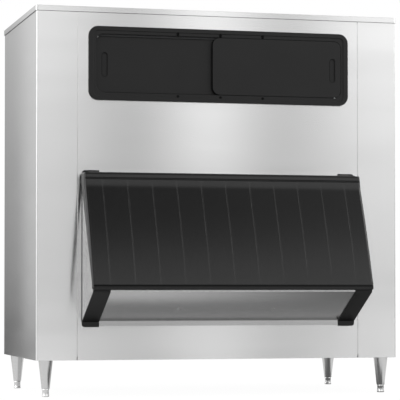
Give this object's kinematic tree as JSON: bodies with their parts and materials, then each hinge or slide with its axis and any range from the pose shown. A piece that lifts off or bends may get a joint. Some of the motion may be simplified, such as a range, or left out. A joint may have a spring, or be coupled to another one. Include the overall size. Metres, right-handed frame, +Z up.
{
  "type": "ice storage bin",
  "caption": "Upright insulated ice storage bin on legs, with sliding window panes above a bow-fronted lift-up hopper door, ice gates behind it and an ice drop opening in the top.",
  "frame": {"origin": "on the floor, at the middle of the bounding box's bottom face", "axes": "+X to the bin's right as seen from the front, +Y to the back, +Z up; the hopper door faces -Y"},
  "size_m": [1.531, 1.0564, 1.571],
  "materials": {
    "stainless": "satin",
    "galvanised_sheet": "satin",
    "leg_steel": "satin",
    "foot_steel": "satin",
    "rod_steel": "gloss",
    "fastener_steel": "satin",
    "fastener_dark": "satin",
    "black_moulding": "satin",
    "door_black": "satin",
    "door_liner_black": "satin",
    "pane_black": "satin",
    "liner_white": "satin",
    "gate_plastic": "satin",
    "drain_plastic": "satin",
    "insulation_foam": "matte",
    "gasket_foam": "matte"
  },
  "bodies": {
    "cabinet": {"left_side_panel": "stainless", "right_side_panel": "stainless", "front_panel": "stainless", "back_panel": "galvanised_sheet", "top_trim": "stainless", "top_deck": "galvanised_sheet", "drop_gasket": "gasket_foam", "base_pan": "galvanised_sheet", "leg_plates": "galvanised_sheet", "leg_bolts": "fastener_steel", "legs": "leg_steel", "liner_floor": "liner_white", "liner_front": "liner_white", "liner_back": "liner_white", "liner_left": "liner_white", "liner_right": "liner_white", "liner_top": "liner_white", "insulation": "insulation_foam", "hopper_throat": "liner_white", "window_sleeve": "liner_white", "drop_collar": "liner_white", "drain_fitting": "drain_plastic", "drain_strainer": "rod_steel", "gate_guide_left": "liner_white", "gate_guide_middle_left": "liner_white", "gate_guide_middle_right": "liner_white", "gate_guide_right": "liner_white", "left_cheek": "stainless", "right_cheek": "stainless", "left_end_frame": "black_moulding", "right_end_frame": "black_moulding", "hopper_bottom": "stainless", "hopper_screws": "fastener_steel", "hinge_rod": "rod_steel", "window_frame": "black_moulding", "window_screws": "fastener_dark"},
    "hopper_door": {"hopper_door": "door_black", "door_liner": "door_liner_black", "door_core": "insulation_foam"},
    "left_window": {"left_window": "pane_black"},
    "right_window": {"right_window": "pane_black"},
    "gate_left": {"gate_left": "gate_plastic"},
    "gate_middle": {"gate_middle": "gate_plastic"},
    "gate_right": {"gate_right": "gate_plastic"},
    "foot_front_left": {"foot_front_left": "foot_steel"},
    "foot_front_right": {"foot_front_right": "foot_steel"},
    "foot_back_left": {"foot_back_left": "foot_steel"},
    "foot_back_right": {"foot_back_right": "foot_steel"}
  },
  "joints": [
    {"name": "hopper_door_hinge", "type": "hinge", "parent": "cabinet", "child": "hopper_door", "pos_m": [0, -0.34625, 0.8875], "axis": [-1, 0, 0], "range_deg": [0, 160]},
    {"name": "left_window_slide", "type": "slide", "parent": "cabinet", "child": "left_window", "axis": [1, 0, 0], "range_m": [0, 0.485]},
    {"name": "right_window_slide", "type": "slide", "parent": "cabinet", "child": "right_window", "axis": [-1, 0, 0], "range_m": [0, 0.485]},
    {"name": "gate_left_lift", "type": "slide", "parent": "cabinet", "child": "gate_left", "axis": [0, 0, 1], "range_m": [0, 0.2]},
    {"name": "gate_middle_lift", "type": "slide", "parent": "cabinet", "child": "gate_middle", "axis": [0, 0, 1], "range_m": [0, 0.2]},
    {"name": "gate_right_lift", "type": "slide", "parent": "cabinet", "child": "gate_right", "axis": [0, 0, 1], "range_m": [0, 0.2]},
    {"name": "foot_front_left_screw", "type": "slide", "parent": "cabinet", "child": "foot_front_left", "axis": [0, 0, -1], "range_m": [0, 0.025]},
    {"name": "foot_front_right_screw", "type": "slide", "parent": "cabinet", "child": "foot_front_right", "axis": [0, 0, -1], "range_m": [0, 0.025]},
    {"name": "foot_back_left_screw", "type": "slide", "parent": "cabinet", "child": "foot_back_left", "axis": [0, 0, -1], "range_m": [0, 0.025]},
    {"name": "foot_back_right_screw", "type": "slide", "parent": "cabinet", "child": "foot_back_right", "axis": [0, 0, -1], "range_m": [0, 0.025]}
  ]
}
